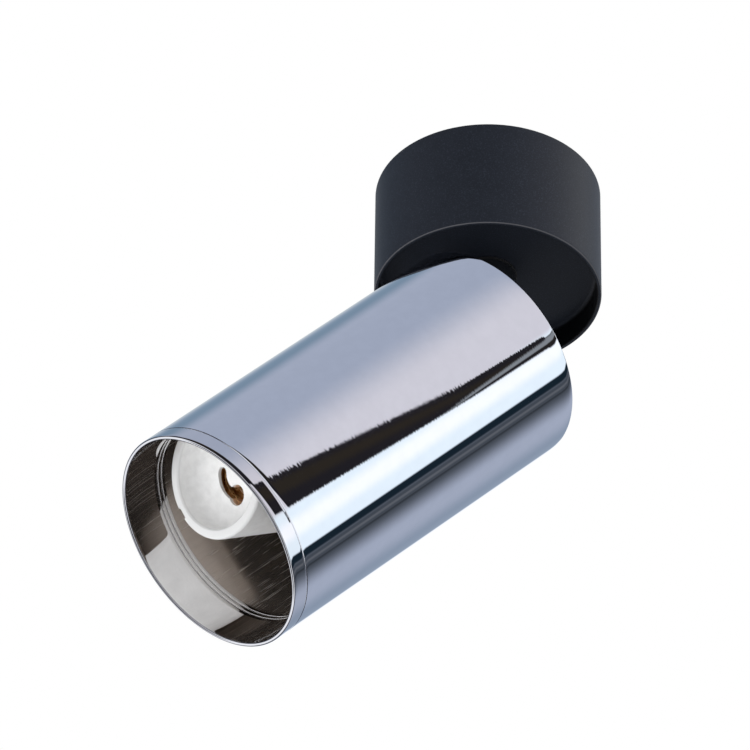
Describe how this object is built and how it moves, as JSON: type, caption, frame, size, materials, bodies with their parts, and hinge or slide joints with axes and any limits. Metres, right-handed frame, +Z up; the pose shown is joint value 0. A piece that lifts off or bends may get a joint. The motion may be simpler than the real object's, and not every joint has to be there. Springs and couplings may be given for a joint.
{
  "type": "surface mounted ceiling spotlight",
  "caption": "Ceiling spotlight: round black canopy, hollow swivel stem with a tilt knuckle, and a chrome tube with a front ring around a ceramic twist-lock lampholder.",
  "frame": {"origin": "centre of the canopy's ceiling face, midway between the two ceiling slots", "axes": "+Z up into the ceiling along the swivel axis; the two ceiling slots lie along X; at rest the head leans 43.5 degrees from straight down towards -X, tilting about Y"},
  "size_m": [0.1146, 0.055, 0.1389],
  "materials": {
    "canopy_black": "matt fine-texture powder coat",
    "stem_black": "satin powder coat",
    "cap_black": "matt powder coat",
    "zinc_steel": "bright zinc plate",
    "screw_steel": "nickel plate",
    "black_steel": "black oxide",
    "tinned_copper": "tin plate",
    "brass": "turned brass",
    "bronze": "spring bronze",
    "black_rubber": "matt rubber",
    "nylon": "natural nylon",
    "block_plastic": "natural polyamide",
    "chrome_tube": "bright chrome plate",
    "chrome_ring": "bright chrome plate",
    "ceramic": "unglazed white steatite",
    "ceramic_cover": "unglazed white steatite",
    "rivet_steel": "nickel plate",
    "live_brown": "brown insulation",
    "neutral_blue": "blue insulation",
    "earth_green_yellow": "green and yellow insulation",
    "lead_sleeve": "braided glass-fibre sleeve",
    "stem_lead_insulation": "silicone insulation"
  },
  "bodies": {
    "canopy": {"canopy_shell": "canopy_black", "ceiling_plate": "zinc_steel", "canopy_grub_screws": "black_steel", "supply_grommet": "black_rubber", "terminal_block": "block_plastic", "terminal_tubes": "brass", "terminal_screws": "screw_steel", "terminal_fixing_screw": "screw_steel", "plate_earth_screw": "brass", "plate_earth_lug": "tinned_copper", "canopy_live_lead": "live_brown", "canopy_neutral_lead": "neutral_blue", "canopy_earth_lead": "earth_green_yellow", "swivel_stop_pin": "screw_steel"},
    "swivel": {"swivel_stem": "stem_black", "stem_washer": "black_rubber", "spindle_washer": "nylon", "swivel_stop_washer": "zinc_steel", "spindle_nut": "brass", "stem_leads": "stem_lead_insulation", "hinge_washers": "nylon", "hinge_screws": "screw_steel"},
    "head": {"hinge_bracket": "zinc_steel", "bracket_screws": "screw_steel", "head_end_cap": "cap_black", "cap_grub_screws": "black_steel", "cap_grommet": "black_rubber", "head_tube": "chrome_tube", "lampholder_body": "ceramic", "lampholder_contacts": "bronze", "lampholder_cover": "ceramic_cover", "lampholder_rivets": "rivet_steel", "live_lead": "lead_sleeve", "neutral_lead": "lead_sleeve", "earth_lead": "earth_green_yellow", "head_earth_lug": "tinned_copper", "head_earth_screw": "brass"},
    "ring": {"front_ring": "chrome_ring"}
  },
  "joints": [
    {"name": "swivel", "type": "hinge", "parent": "canopy", "child": "swivel", "pos_m": [0, 0, 0], "axis": [0, 0, 1], "range_deg": [-165, 165]},
    {"name": "tilt", "type": "hinge", "parent": "swivel", "child": "head", "pos_m": [0, 0, -0.0492], "axis": [0, 1, 0], "range_deg": [-43.5, 16.5]},
    {"name": "ring_release", "type": "slide", "parent": "head", "child": "ring", "axis": [-0.6884, 0, -0.7254], "range_m": [0, 0.012]}
  ]
}
